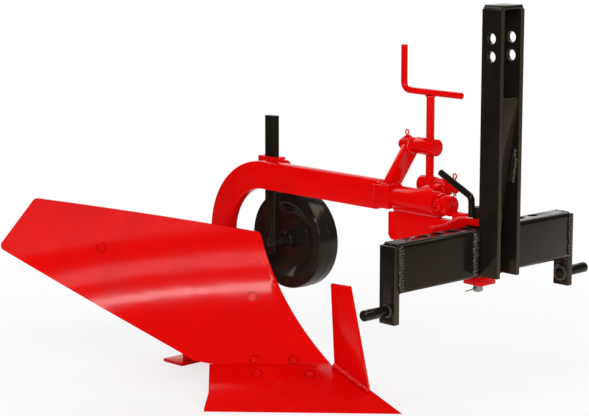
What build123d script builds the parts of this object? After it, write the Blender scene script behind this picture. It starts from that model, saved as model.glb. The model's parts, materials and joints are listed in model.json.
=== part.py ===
from build123d import *
from math import cos, sin, radians
import os

# Single-furrow moldboard plough for a small tractor's three-point linkage.
# Millimetres. +X is forward (the way it is pulled), +Y is left, +Z is up.
# While the pieces are made, X = 0 is the crossbar's front face, Y = 0 is the
# plane of the beam, and Z = 0 is the floor that the share and heel stand on.
# The finished pieces are moved so that the origin is at the bottom centre.

# ---- hitch frame ----
bar_bottom = 350.0          # underside of the crossbar over the floor
bar_height = 100.0
bar_depth = 50.0
bar_wall = 6.0
bar_corner = 10.0
frame_width = 550.0         # over the outer faces of the two end plates
end_plate_thick = 15.0
end_plate_depth = 40.0
end_plate_drop = 61.0       # how far the end plates hang below the crossbar
end_plate_top_gap = 5.0
link_pin_radius = 11.0
link_pin_length = 67.0      # free length outside the end plate
link_pin_stub_radius = 10.0  # where it is welded into the plate
link_pin_neck = 2.0
link_pin_chamfer = 2.5
link_pin_x = -25.0
link_pin_z = bar_bottom - 34.0
linch_hole_radius = 4.5
linch_hole_inset = 16.5     # from the pin's tip
adjust_hole_radius = 11.0
adjust_hole_x = -30.0
adjust_hole_pitch = 42.0
adjust_holes_each_side = 4

mast_depth = 50.0
mast_gap = 50.0
mast_bar_thick = 10.0
mast_foot_gap = 5.0
mast_top = bar_bottom + 545.0
mast_cap_thick = 8.0
mast_hole_radius = 11.0
mast_hole_x = 25.0
mast_hole_heights = [bar_bottom + 451.0, bar_bottom + 487.0]
mast_panel_top = bar_bottom + 366.0
mast_panel_thick = 6.0

# ---- head: the plates and tube behind the crossbar ----
roll_z = 480.0              # height of the roll axis, the middle of the beam
head_width = 46.0
head_plate_thick = 13.5
head_base_thick = 20.0
head_top_gap = 3.0
head_front_x = -3.0
back_plate_thick = 14.0
back_plate_width = 240.0
back_plate_shoulder = 64.0  # from here it rises to the top plate
back_plate_step = 6.0       # its top over the crossbar, beside the shoulders
back_plate_lift = 8.0       # its lower corners over the crossbar's underside
back_plate_tongue = 12.0    # its middle reaches this far below the crossbar
web_thick = 16.0
web_back_x = -279.0
web_back_top = 448.0        # clears the beam's block as it rolls
web_back_bottom = 389.0
tube_radius = 25.5
tube_back_x = -263.0
tube_front_x = -139.0
shaft_radius = 21.0
shaft_front_x = -104.0
running_gap = 0.05          # radial clearance of every turning fit

pin_radius = 10.0
pin_x = -30.0
pin_top = 489.0
pin_head_radius = 13.0
pin_bottom = 313.0
pin_rod_radius = 7.0
pin_rod_offset = (-10.2, -12.2)  # the lifting handle beside the pin's head
pin_rod_bend = 24.0
pin_rod_bend_z = 509.0
pin_rod_end_x = -127.6
pin_rod_end_z = 550.5

# ---- tilt screw ----
screw_x = -223.0
screw_y = 60.0
lower_trunnion_z = 505.0
upper_trunnion_z = 585.0
trunnion_radius = 18.0
trunnion_pin_radius = 10.0
bush_radius = 17.0
upper_bush_radius = 16.0
swivel_back_x = -245.0
swivel_front_x = -206.0
swivel_pin_x = -146.0
lower_bush_x0 = -204.0
lower_bush_x1 = -166.0
nut_back_x = -258.0
nut_front_x = -203.0
nut_pin_x = -306.0
upper_bush_x0 = -298.0
upper_bush_x1 = -260.0
arm_lean = 38.6             # degrees, away from upright
arm_half_width = 18.4
arm_offset = 5.2            # of the arm's middle from the bush's axis
arm_back_x = -287.5
arm_front_x = -272.5
arm_length = 110.0
screw_radius = 9.0
nut_hole_radius = 11.5      # the loop of the tilt linkage is open here
crank_z = 701.0
crank_radius = 7.0
crank_back_x = -300.0
crank_front_x = -135.0
grip_top = 797.0
grip_bend = 16.0

# ---- beam ----
beam_thick = 25.0
beam_height = 63.0
beam_front_x = -310.0
beam_bend_radius = 175.0    # outer radius of the gooseneck's bend
beam_bend_x = -669.0        # the bend is centred on this x and z
beam_bend_z = roll_z + beam_height / 2 - beam_bend_radius
block_front_x = -265.0
block_half_width = 22.0
block_half_height = 25.0

# ---- plough bottom ----
landside_y = 24.5           # the plane that slides along the furrow wall
landside_thick = 12.0
landside_height = 70.0
heel_x = -969.0
heel_length = 67.0
heel_width = 81.5
heel_thick = 8.0
share_tip_x = -260.0
share_angle = 44.0          # between the share's edge and the direction of travel
share_slope = 27.0
share_width = 158.0
share_length = 433.0
share_thick = 8.0
board_thick = 6.0
board_radius = 372.0        # radius of the moldboard's sections
board_start_angle = 35.0    # slope of the section at its lower edge
board_end_angle = 106.0
coulter_thick = 8.0
frog_thick = 12.0

# ---- gauge wheel ----
wheel_x = -688.5
wheel_z = 317.0
wheel_radius = 115.0
wheel_near_y = 80.0
wheel_width = 61.0
axle_radius = 10.0
stem_width = 30.0
stem_thick = 16.0
stem_x = -695.0
stem_near_y = 35.0
stem_bottom = 295.0
stem_top = 609.0
sleeve_gap = 0.5
sleeve_x0 = -727.5
sleeve_x1 = -664.0
sleeve_near_y = 30.0
sleeve_far_y = 55.5
sleeve_bottom = 452.0
sleeve_top = 515.5
sleeve_pad_x0 = -700.0      # the pad that holds the sleeve off the beam
sleeve_pad_x1 = -656.0
sleeve_pad_top = 500.0
clamp_bolt_y = 41.0
clamp_bolt_z = 502.5
clamp_bolt_radius = 6.0
clamp_head_radius = 9.0
clamp_head_thick = 13.0
clamp_head_gap = 12.0       # between the sleeve and the bolt's head


def block(x0, x1, y0, y1, z0, z1):
    """A box between two corners."""
    centre = ((x0 + x1) / 2, (y0 + y1) / 2, (z0 + z1) / 2)
    return Pos(*centre) * Box(abs(x1 - x0), abs(y1 - y0), abs(z1 - z0))


def rod_x(x0, x1, y, z, radius):
    return Pos((x0 + x1) / 2, y, z) * Rot(0, 90, 0) * Cylinder(radius, x1 - x0)


def rod_y(y0, y1, x, z, radius):
    return Pos(x, (y0 + y1) / 2, z) * Rot(90, 0, 0) * Cylinder(radius, y1 - y0)


def rod_z(z0, z1, x, y, radius):
    return Pos(x, y, (z0 + z1) / 2) * Cylinder(radius, z1 - z0)


def largest(solid):
    return solid.solids().sort_by(SortBy.VOLUME)[-1]


def side_plate(points, y0, y1):
    """A plate from (x, z) corners, between two values of y."""
    outline = make_face(Polyline(*points, close=True))
    return extrude(Plane.XZ.offset(-y1) * outline, amount=y1 - y0)


def cross_plate(points, x0, x1):
    """A plate from (y, z) corners, between two values of x."""
    outline = make_face(Polyline(*points, close=True))
    return extrude(Plane.YZ.offset(x0) * outline, amount=x1 - x0)


# ---------------------------------------------------------------- hitch frame
def crossbar():
    half = frame_width / 2 - end_plate_thick
    outer = RectangleRounded(bar_depth, bar_height, bar_corner)
    inner = RectangleRounded(bar_depth - 2 * bar_wall, bar_height - 2 * bar_wall, 2)
    section = Plane.XZ.offset(-half) * (outer - inner)
    tube = extrude(section, amount=2 * half)
    tube = Pos(-bar_depth / 2, 0, bar_bottom + bar_height / 2) * tube
    for step in range(-adjust_holes_each_side, adjust_holes_each_side + 1):
        tube -= rod_z(bar_bottom - 1, bar_bottom + bar_height + 1,
                      adjust_hole_x, step * adjust_hole_pitch, adjust_hole_radius)
    return tube


def end_plate(side):
    outer_y = side * frame_width / 2
    inner_y = side * (frame_width / 2 - end_plate_thick)
    middle = -bar_depth / 2
    plate = block(middle - end_plate_depth / 2, middle + end_plate_depth / 2,
                  inner_y, outer_y,
                  bar_bottom - end_plate_drop, bar_bottom + bar_height - end_plate_top_gap)
    return plate - link_pin(side)


def link_pin(side):
    inner_y = frame_width / 2 - end_plate_thick - 2
    tip_y = frame_width / 2 + link_pin_length
    neck_y = frame_width / 2 + link_pin_neck
    pin = rod_y(neck_y, tip_y, link_pin_x, link_pin_z, link_pin_radius)
    pin = chamfer(pin.edges().filter_by(GeomType.CIRCLE).sort_by(Axis.Y)[-1], link_pin_chamfer)
    pin += rod_y(inner_y, neck_y, link_pin_x, link_pin_z, link_pin_stub_radius)
    pin -= rod_z(link_pin_z - 20, link_pin_z + 20, link_pin_x, tip_y - linch_hole_inset, linch_hole_radius)
    if side < 0:
        pin = mirror(pin, Plane.XZ)
    return pin


def mast_bar(side):
    y0 = side * mast_gap / 2
    y1 = side * (mast_gap / 2 + mast_bar_thick)
    bar = block(0, mast_depth, y0, y1, bar_bottom + mast_foot_gap, mast_top)
    for z in mast_hole_heights:
        bar -= rod_y(-60, 60, mast_hole_x, z, mast_hole_radius)
    return bar


def mast_cap():
    half = mast_gap / 2 + mast_bar_thick / 2
    return block(0, mast_depth, -half, half, mast_top, mast_top + mast_cap_thick)


def mast_panel():
    low = bar_bottom + bar_height - 6
    points = [(mast_depth - 1, mast_panel_top), (mast_depth - 1 - mast_panel_thick, mast_panel_top),
              (0, low), (mast_panel_thick, low)]
    return side_plate(points, -mast_gap / 2, mast_gap / 2)


# ------------------------------------------------------------------- the head
def head_hole():
    return rod_z(300, 500, pin_x, 0, pin_radius + running_gap)


def head_top_plate():
    low = bar_bottom + bar_height + head_top_gap
    plate = block(-bar_depth, head_front_x, -head_width / 2, head_width / 2,
                  low, low + head_plate_thick)
    return plate - head_hole()


def head_base_plate():
    plate = block(-bar_depth, head_front_x, -head_width / 2, head_width / 2,
                  bar_bottom - head_base_thick, bar_bottom)
    return plate - head_hole()


def back_plate():
    """A wide plate behind the crossbar that rises to the top plate in the middle."""
    wide = back_plate_width / 2
    narrow = head_width / 2 + 2
    low = bar_bottom - back_plate_tongue
    lift = bar_bottom + back_plate_lift
    step = bar_bottom + bar_height + back_plate_step
    high = bar_bottom + bar_height + head_top_gap + head_plate_thick
    points = [(-wide, lift), (-narrow, lift), (-narrow, low), (narrow, low), (narrow, lift), (wide, lift),
              (wide, step), (back_plate_shoulder, step), (narrow, high), (-narrow, high),
              (-back_plate_shoulder, step), (-wide, step)]
    return cross_plate(points, -bar_depth - back_plate_thick, -bar_depth)


def web_plate():
    back = web_back_x
    front = -bar_depth - back_plate_thick
    points = [(tube_back_x, roll_z), (tube_back_x, web_back_top), (back, web_back_top),
              (back, web_back_bottom + 9), (back + 8, web_back_bottom), (front, bar_bottom + 4),
              (front, roll_z - 10),
              (tube_front_x, roll_z - 10), (tube_front_x, roll_z)]
    plate = side_plate(points, -web_thick / 2, web_thick / 2)
    plate -= rod_x(tube_back_x - 1, tube_front_x + 1, 0, roll_z, tube_radius)
    shaft_room = rod_x(tube_front_x - 1, shaft_front_x + 6, 0, roll_z, tube_radius + 4)
    return plate - shaft_room


def roll_tube():
    tube = rod_x(tube_back_x, tube_front_x, 0, roll_z, tube_radius)
    return tube - rod_x(tube_back_x - 1, tube_front_x + 1, 0, roll_z, shaft_radius + running_gap)


def draw_pin():
    pin = rod_z(pin_bottom, pin_top, pin_x, 0, pin_radius)
    plate_top = bar_bottom + bar_height + head_top_gap + head_plate_thick
    pin += rod_z(plate_top, pin_top, pin_x, 0, pin_head_radius)
    foot = (pin_x + pin_rod_offset[0], pin_rod_offset[1])
    path = FilletPolyline((*foot, plate_top + 1), (*foot, pin_rod_bend_z),
                          (pin_rod_end_x, foot[1], pin_rod_end_z), radius=pin_rod_bend)
    section = Plane(origin=path @ 0, z_dir=path % 0) * Circle(pin_rod_radius)
    return pin + sweep(section, path=path)


def lower_bush():
    bush = rod_x(lower_bush_x0, lower_bush_x1, screw_y, lower_trunnion_z, bush_radius)
    return bush - rod_x(lower_bush_x0 - 1, lower_bush_x1 + 1, screw_y, lower_trunnion_z,
                        trunnion_pin_radius + running_gap)


def bush_gusset():
    points = [(6, roll_z + 26), (24, roll_z + 6), (screw_y + 6, lower_trunnion_z - 12),
              (screw_y - 8, lower_trunnion_z + 12)]
    x0, x1 = lower_bush_x0 + 4, lower_bush_x1 - 4
    gusset = cross_plate(points, x0, x1)
    gusset -= rod_x(x0 - 1, x1 + 1, screw_y, lower_trunnion_z, bush_radius)
    return gusset - rod_x(x0 - 1, x1 + 1, 0, roll_z, tube_radius)


# ------------------------------------------------------------- tilt mechanism
def swivel():
    z = lower_trunnion_z
    body = rod_x(swivel_back_x, swivel_front_x, screw_y, z, trunnion_radius)
    body += rod_x(swivel_front_x - 4, swivel_pin_x, screw_y, z, trunnion_pin_radius)
    return body - rod_z(z - 30, z + 30, screw_x, screw_y, screw_radius + running_gap)


def tilt_nut():
    z = upper_trunnion_z
    body = rod_x(nut_back_x, nut_front_x, screw_y, z, trunnion_radius)
    body += rod_x(nut_pin_x, nut_back_x + 8, screw_y, z, trunnion_pin_radius)
    return body - rod_z(z - 30, z + 30, screw_x, screw_y, nut_hole_radius)


def screw():
    low = lower_trunnion_z - trunnion_radius - 8
    rod = rod_z(low, crank_z - crank_radius, screw_x, screw_y, screw_radius)
    return rod + rod_z(low, low + 6, screw_x, screw_y, screw_radius + 3)


def crank():
    path = FilletPolyline((crank_front_x, screw_y, crank_z), (crank_back_x, screw_y, crank_z),
                          (crank_back_x, screw_y, grip_top), radius=grip_bend)
    section = Plane(origin=path @ 0, z_dir=path % 0) * Circle(crank_radius)
    return sweep(section, path=path)


def tilt_arm():
    """Flat bar leaning from the beam's end block to the upper bush."""
    lean = radians(arm_lean)
    along = (sin(lean), cos(lean))
    across = (cos(lean) * arm_half_width, -sin(lean) * arm_half_width)
    top = (screw_y + cos(lean) * arm_offset, upper_trunnion_z - sin(lean) * arm_offset)
    foot = (top[0] - along[0] * arm_length, top[1] - along[1] * arm_length)
    points = [(foot[0] + across[0], foot[1] + across[1]), (top[0] + across[0], top[1] + across[1]),
              (top[0] - across[0], top[1] - across[1]), (foot[0] - across[0], foot[1] - across[1])]
    arm = cross_plate(points, arm_back_x, arm_front_x)
    arm -= rod_x(arm_back_x - 1, arm_front_x + 1, screw_y, upper_trunnion_z, upper_bush_radius)
    floor = roll_z + block_half_height
    return arm - block(arm_back_x - 1, arm_front_x + 1, -100, 100, floor - 100, floor)


def upper_bush():
    bush = rod_x(upper_bush_x0, upper_bush_x1, screw_y, upper_trunnion_z, upper_bush_radius)
    return bush - rod_x(upper_bush_x0 - 1, upper_bush_x1 + 1, screw_y, upper_trunnion_z,
                        trunnion_pin_radius + running_gap)


# ------------------------------------------------------------------- the beam
def beam():
    """A flat bar on edge, bent down behind as a gooseneck."""
    top = roll_z + beam_height / 2
    inner = beam_bend_radius - beam_height
    left = beam_bend_x - beam_bend_radius
    slant = sin(radians(45))
    outline = Polyline((beam_bend_x, top), (beam_front_x, top), (beam_front_x, top - beam_height),
                       (beam_bend_x, top - beam_height))
    outline += ThreePointArc((beam_bend_x, top - beam_height),
                             (beam_bend_x - inner * slant, beam_bend_z + inner * slant),
                             (left + beam_height, beam_bend_z))
    outline += Polyline((left + beam_height, beam_bend_z), (left + beam_height, heel_thick),
                        (left, heel_thick), (left, beam_bend_z))
    outline += ThreePointArc((left, beam_bend_z),
                             (beam_bend_x - beam_bend_radius * slant, beam_bend_z + beam_bend_radius * slant),
                             (beam_bend_x, top))
    face = make_face(outline)
    return extrude(Plane.XZ.offset(-beam_thick / 2) * face, amount=beam_thick)


def beam_block():
    return block(beam_front_x, block_front_x, -block_half_width, block_half_width,
                 roll_z - block_half_height, roll_z + block_half_height)


def roll_shaft():
    shaft = rod_x(block_front_x, shaft_front_x, 0, roll_z, shaft_radius)
    return chamfer(shaft.edges().filter_by(GeomType.CIRCLE).sort_by(Axis.X)[-1], 1.5)


def shaft_collar():
    collar = rod_x(tube_front_x + 2, tube_front_x + 12, 0, roll_z, tube_radius - 1)
    return collar - rod_x(-200, -100, 0, roll_z, shaft_radius)


# ----------------------------------------------------------- plough bottom
# The share's edge is a line on the floor. Along it, "reach" runs from the
# point to the wing; "depth" is level and square to it, towards the landside.
edge = Vector(-cos(radians(share_angle)), -sin(radians(share_angle)), 0)
inward = Vector(-sin(radians(share_angle)), cos(radians(share_angle)), 0)
point = Vector(share_tip_x, landside_y, 0)
joint_depth = share_width * cos(radians(share_slope))
joint_height = share_width * sin(radians(share_slope))


def section_plane(reach):
    return Plane(origin=point + edge * reach, x_dir=inward, z_dir=edge * -1)


def board_section(reach, lean, front, back):
    """One section of the moldboard, between two radii, leaning forward by lean degrees."""
    start = radians(board_start_angle)
    centre = (joint_depth - board_radius * sin(start), joint_height + board_radius * cos(start))

    def spot(radius, angle):
        x = centre[0] + radius * sin(radians(angle)) - joint_depth
        y = centre[1] - radius * cos(radians(angle)) - joint_height
        turn = radians(lean)
        return (joint_depth + x * cos(turn) - y * sin(turn),
                joint_height + x * sin(turn) + y * cos(turn))

    low, high = board_start_angle, board_end_angle
    middle = (low + high) / 2
    outline = ThreePointArc(spot(front, low), spot(front, middle), spot(front, high))
    outline += Line(spot(front, high), spot(back, high))
    outline += ThreePointArc(spot(back, high), spot(back, middle), spot(back, low))
    outline += Line(spot(back, low), spot(front, low))
    return section_plane(reach) * make_face(outline)


# the sections' places along the edge, and how far each leans over the furrow
board_sections = [  # reach, lean
    (100.0, 0.0),
    (320.0, 0.5),
    (540.0, 4.0),
    (740.0, 9.5),
    (950.0, 16.5),
]


def board_shell(front, back):
    return loft([board_section(reach, lean, front, back) for reach, lean in board_sections])


def edge_prism(outline):
    """Everything inside an outline of (reach, height), whatever its depth."""
    plane = Plane(origin=point - inward * 200, x_dir=edge, z_dir=edge.cross(Vector(0, 0, 1)))
    return extrude(plane * make_face(outline), amount=900, both=True)


def furrow_side(solid):
    """Cuts off what would stick out past the landside's plane."""
    return solid - block(-1500, 300, landside_y, landside_y + 900, -50, 700)


def moldboard():
    shell = board_shell(board_radius, board_radius + board_thick)
    wing = (share_length - 2, joint_height)
    hip = (464, joint_height + 4)
    tail_low = (917, 316)
    tail_high = (831, 430)
    shin_low = (160, joint_height)
    shin_high = (326, 342)
    outline = Polyline(shin_low, wing, hip)
    outline += ThreePointArc(hip, (694, 184.7), tail_low)
    outline += Polyline(tail_low, tail_high, shin_high)
    outline += ThreePointArc(shin_high, (269.5, 200), shin_low)
    face = make_face(outline)
    corners = [v for v in face.vertices() if v.Y > joint_height + 100]
    face = fillet(corners, 13)
    plane = Plane(origin=point - inward * 200, x_dir=edge, z_dir=edge.cross(Vector(0, 0, 1)))
    prism = extrude(plane * face, amount=900, both=True)
    return furrow_side(shell & prism)


def share():
    rise = radians(share_slope)
    corner = (joint_depth + share_thick * sin(rise), joint_height - share_thick * cos(rise))
    points = [(0, 0), (joint_depth, joint_height), corner, (share_thick / sin(rise), 0)]
    face = make_face(Polyline(*points, close=True))
    plate = extrude(section_plane(-80) * face, amount=-(share_length + 80))
    wing = Polyline((-90, -10), (share_length, -10), (share_length, 5), (share_length - 6, 28),
                    (share_length - 1, joint_height), (share_length - 1, 90), (-90, 90), close=True)
    return furrow_side(plate & edge_prism(wing))


def coulter():
    """Upright fin welded along the share's landside edge."""
    slope = joint_height / (joint_depth / sin(radians(share_angle)))
    points = [(-357, slope * 97 - 6), (-419, 259), (-477, 256), (-464, slope * 204 - 6)]
    fin = side_plate(points, landside_y - coulter_thick, landside_y)
    return largest(fin - share() - moldboard())


def landside():
    top = heel_thick + landside_height
    points = [(heel_x, heel_thick), (-292, heel_thick), (-292, top), (heel_x, top)]
    bar = side_plate(points, landside_y - landside_thick, landside_y)
    return bar - under_share() - board_shell(board_radius - 250, board_radius + board_thick)


def under_share():
    """All that lies in front of the share's underside."""
    rise = radians(share_slope)
    low = (share_thick / sin(rise), 0)
    far = 260.0
    points = [(low[0] - far, low[1]), low, (low[0] + far * cos(rise), low[1] + far * sin(rise)),
              (low[0] - far, low[1] + far)]
    face = make_face(Polyline(*points, close=True))
    return extrude(section_plane(-150) * face, amount=-(share_length + 250))


def heel_foot():
    return block(heel_x, heel_x + heel_length, landside_y - heel_width, landside_y, 0, heel_thick)


def heel_flange():
    x1 = heel_x + heel_length - 4
    return block(x1 - 8, x1, landside_y - heel_width + 13, landside_y - landside_thick,
                 heel_thick, heel_thick + 60)


def behind_board(solid):
    return solid - board_shell(board_radius - 250, board_radius + board_thick)


def frog():
    leg_front = beam_bend_x - beam_bend_radius + beam_height
    points = [(leg_front, heel_thick + 4), (-380, heel_thick + 4), (-470, 90), (-640, 290), (leg_front, 300)]
    plate = side_plate(points, landside_y - landside_thick - frog_thick, landside_y - landside_thick)
    return behind_board(plate - under_share())


def frog_saddle():
    """Bolting plate under the joint of share and moldboard, bent like them."""
    rise, bend = radians(share_slope), radians(board_start_angle + 6)
    low = (joint_depth - 100 * cos(rise), joint_height - 100 * sin(rise))
    high = (joint_depth + 62 * cos(bend), joint_height + 62 * sin(bend))
    outline = Polyline(low, (joint_depth, joint_height), high,
                       (high[0] + 16, high[1] - 16), (joint_depth + 14, joint_height - 20),
                       (low[0] + 9, low[1] - 18), close=True)
    plate = extrude(section_plane(190) * make_face(outline), amount=-210)
    return largest(behind_board(plate - under_share()) - frog() - landside())


def frog_lug():
    """Shelf between the frog and the moldboard's upper bolt."""
    points_y0 = landside_y - landside_thick - frog_thick
    leg_front = beam_bend_x - beam_bend_radius + beam_height
    shelf = block(leg_front, -640, -62, points_y0, 196, 208)
    return behind_board(shelf)


def tail_stay():
    """Flat bar from the gooseneck to the back of the moldboard's tail."""
    start = Vector(-806, -beam_thick / 2, 262)
    finish = Vector(-944, -298, 318)
    along = finish - start
    plane = Plane(origin=start, x_dir=along.normalized(), z_dir=along.cross(Vector(0, 0, 1)).normalized())
    stay = plane * (Pos(along.length / 2, 0, 0) * Box(along.length, 40, 8))
    stay -= block(-900, -700, -beam_thick / 2, 60, 0, 500)
    return behind_board(stay)


# ---------------------------------------------------------------- gauge wheel
def sleeve():
    body = block(sleeve_x0, sleeve_x1, sleeve_near_y, sleeve_far_y, sleeve_bottom, sleeve_top)
    body += block(sleeve_pad_x0, sleeve_pad_x1, beam_thick / 2, sleeve_near_y + 1,
                  sleeve_bottom, sleeve_pad_top)
    half = stem_width / 2 + sleeve_gap
    body -= block(stem_x - half, stem_x + half, stem_near_y - sleeve_gap,
                  stem_near_y + stem_thick + sleeve_gap, sleeve_bottom - 1, sleeve_top + 1)
    return body - clamp_bolt()


def clamp_bolt():
    head = sleeve_x1 + clamp_head_gap
    tip = stem_x + stem_width / 2 + sleeve_gap
    bolt = rod_x(tip, head + 6, clamp_bolt_y, clamp_bolt_z, clamp_bolt_radius)
    return bolt + rod_x(head, head + clamp_head_thick, clamp_bolt_y, clamp_bolt_z, clamp_head_radius)


def gauge_stem():
    bar = block(stem_x - stem_width / 2, stem_x + stem_width / 2,
                stem_near_y, stem_near_y + stem_thick, stem_bottom, stem_top)
    return bar - rod_y(0, 60, wheel_x, wheel_z, axle_radius)


def wheel_axle():
    near = stem_near_y - 5
    far = wheel_near_y + wheel_width + 14
    axle = rod_y(stem_near_y, far, wheel_x, wheel_z, axle_radius)
    axle += rod_y(near, stem_near_y, wheel_x, wheel_z, axle_radius + 3)
    spacer_start = stem_near_y + stem_thick
    axle += rod_y(spacer_start, wheel_near_y - 4, wheel_x, wheel_z, axle_radius + 3)
    return axle + rod_y(far - 10, far, wheel_x, wheel_z, axle_radius + 5)


def gauge_wheel():
    near, far = wheel_near_y, wheel_near_y + wheel_width
    middle = (near + far) / 2
    half = wheel_width / 2
    side = [  # radius, distance of the near surface from the wheel's middle plane
        (axle_radius + running_gap, half + 1),
        (17.0, half + 1),
        (20.0, 7.0),
        (60.0, 5.0),
        (83.0, half - 5),
        (88.0, half),
        (wheel_radius - 7, half),
        (wheel_radius - 2, half - 2),
        (wheel_radius, half - 7),
    ]
    points = [(r, -y) for r, y in side] + [(r, y) for r, y in reversed(side)]
    face = make_face(Polyline(*points, close=True))
    wheel = revolve(Plane.XY * face, Axis.Y)
    return Pos(wheel_x, middle, wheel_z) * wheel


pieces = {
    "crossbar": crossbar,
    "end_plate_right": lambda: end_plate(-1),
    "end_plate_left": lambda: end_plate(1),
    "link_pin_right": lambda: link_pin(-1),
    "link_pin_left": lambda: link_pin(1),
    "mast_bar_right": lambda: mast_bar(-1),
    "mast_bar_left": lambda: mast_bar(1),
    "mast_cap": mast_cap,
    "mast_panel": mast_panel,
    "head_top_plate": head_top_plate,
    "head_base_plate": head_base_plate,
    "head_back_plate": back_plate,
    "head_web": web_plate,
    "roll_tube": roll_tube,
    "draw_pin": draw_pin,
    "lower_bush": lower_bush,
    "bush_gusset": bush_gusset,
    "swivel": swivel,
    "tilt_nut": tilt_nut,
    "tilt_screw": screw,
    "crank_handle": crank,
    "tilt_arm": tilt_arm,
    "upper_bush": upper_bush,
    "beam": beam,
    "beam_block": beam_block,
    "roll_shaft": roll_shaft,
    "shaft_collar": shaft_collar,
    "moldboard": moldboard,
    "share": share,
    "coulter": coulter,
    "landside": landside,
    "heel_foot": heel_foot,
    "heel_flange": heel_flange,
    "frog": frog,
    "frog_saddle": frog_saddle,
    "frog_lug": frog_lug,
    "tail_stay": tail_stay,
    "stem_sleeve": sleeve,
    "clamp_bolt": clamp_bolt,
    "gauge_stem": gauge_stem,
    "wheel_axle": wheel_axle,
    "gauge_wheel": gauge_wheel,
}

solids = {name: make() for name, make in pieces.items()}
box = Compound(children=[Compound(list(s.solids())) for s in solids.values()]).bounding_box()
shift = Pos(-(box.min.X + box.max.X) / 2, -(box.min.Y + box.max.Y) / 2, -box.min.Z)
print("shift", shift.position, "size", box.size)

os.makedirs("parts", exist_ok=True)
for name, solid in solids.items():
    placed = [shift * s for s in solid.solids()]
    export_step(placed[0] if len(placed) == 1 else Compound(placed), f"parts/{name}.step")
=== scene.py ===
import bpy
import json
import random
from math import cos, pi, radians, sin, sqrt
from mathutils import Matrix, Vector


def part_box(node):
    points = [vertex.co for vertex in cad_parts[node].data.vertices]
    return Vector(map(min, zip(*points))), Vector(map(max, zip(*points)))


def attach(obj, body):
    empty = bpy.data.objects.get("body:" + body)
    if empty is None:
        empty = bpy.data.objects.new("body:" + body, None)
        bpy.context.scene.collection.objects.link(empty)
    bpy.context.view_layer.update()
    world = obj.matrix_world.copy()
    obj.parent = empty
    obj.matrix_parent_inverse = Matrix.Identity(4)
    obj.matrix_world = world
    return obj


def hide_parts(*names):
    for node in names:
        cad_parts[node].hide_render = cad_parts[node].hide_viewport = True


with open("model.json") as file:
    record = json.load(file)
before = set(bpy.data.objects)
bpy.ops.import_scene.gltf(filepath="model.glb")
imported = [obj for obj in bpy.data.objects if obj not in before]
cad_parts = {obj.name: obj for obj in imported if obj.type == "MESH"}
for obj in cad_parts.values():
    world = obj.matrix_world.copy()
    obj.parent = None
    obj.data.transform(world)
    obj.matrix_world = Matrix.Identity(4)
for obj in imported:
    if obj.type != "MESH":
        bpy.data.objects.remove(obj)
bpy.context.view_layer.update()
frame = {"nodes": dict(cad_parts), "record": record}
nodes = frame["nodes"]

# places are millimetres from the crossbar's front face, the beam's middle and the floor
barLow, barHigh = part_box("crossbar")
beamLow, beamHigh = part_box("beam")
home = Vector((barHigh.x, (beamLow.y + beamHigh.y) / 2, 0))
mergeGap = 0.000002  # points closer than this, in metres, are one
flatTurn = radians(0.4)  # neighbouring faces that turn less than this are one


def spot(x, y, z):
    return home + Vector((x, y, z)) / 1000


# camera
viewCamera = {
    "turn": 46.41, "height": 10.10, "roll": 0.04, "lens": 124.567, "sensor": 36,
    "across": -0.39668, "up": 0.13812, "away": 4.1504,
}


def viewAxes():
    turn, height = radians(viewCamera["turn"]), radians(viewCamera["height"])
    back = Vector((sin(turn) * cos(height), -cos(turn) * cos(height), sin(height)))
    right = Vector((cos(turn), sin(turn), 0))
    return right, back.cross(right), back


def makeCamera():
    right, up, back = viewAxes()
    roll = radians(viewCamera["roll"])
    rolledRight = right * cos(roll) + up * sin(roll)
    rolledUp = up * cos(roll) - right * sin(roll)
    data = bpy.data.cameras.new("viewCamera")
    data.sensor_width = viewCamera["sensor"]
    data.lens = viewCamera["lens"]
    camera = bpy.data.objects.new("viewCamera", data)
    place = Matrix((rolledRight, rolledUp, back)).transposed().to_4x4()
    place.translation = (rolledRight * viewCamera["across"] + rolledUp * viewCamera["up"]
                         + back * viewCamera["away"] + Vector((home.x, home.y, barLow.z)))
    camera.matrix_world = place
    bpy.context.collection.objects.link(camera)
    bpy.context.scene.camera = camera


makeCamera()
print("camera ready")


# node groups that several finishes share
def newGroup(name, inputs, outputs):
    group = bpy.data.node_groups.new(name, "ShaderNodeTree")
    for label, value in inputs:
        socket = group.interface.new_socket(label, in_out="INPUT", socket_type="NodeSocketFloat")
        socket.default_value = value
    for label in outputs:
        group.interface.new_socket(label, in_out="OUTPUT", socket_type="NodeSocketFloat")
    return group, group.nodes.new("NodeGroupInput"), group.nodes.new("NodeGroupOutput")


def addNode(tree, kind, settings=None, **sockets):  # i0 and i1 name inputs by number
    node = tree.nodes.new(kind)
    for key, value in (settings or {}).items():
        setattr(node, key, value)
    for key, value in sockets.items():
        numbered = key[0] == "i" and key[1:].isdigit()
        target = node.inputs[int(key[1:])] if numbered else node.inputs[key]
        if isinstance(value, bpy.types.NodeSocket):
            tree.links.new(value, target)
        else:
            target.default_value = value
    return node


def mathNode(tree, operation, first, second=0.0):
    settings = {"operation": operation}
    return addNode(tree, "ShaderNodeMath", settings, i0=first, i1=second).outputs[0]


def mapRange(tree, value, settings=None, **limits):  # fromMin, fromMax, toMin, toMax
    node = addNode(tree, "ShaderNodeMapRange", settings, Value=value)
    labels = {"fromMin": "From Min", "fromMax": "From Max", "toMin": "To Min", "toMax": "To Max"}
    for key, limit in limits.items():
        if isinstance(limit, bpy.types.NodeSocket):
            tree.links.new(limit, node.inputs[labels[key]])
        else:
            node.inputs[labels[key]].default_value = limit
    return node.outputs[0]


skinValues = {
    "toneScale": 11.0, "toneDetail": 4.0, "toneRough": 0.6, "toneLow": 0.35, "toneHigh": 0.68,
    "glossLow": 0.3, "glossHigh": 0.7, "nibCells": 120.0, "nibSize": 0.09, "nibRarity": 0.93,
}


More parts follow.
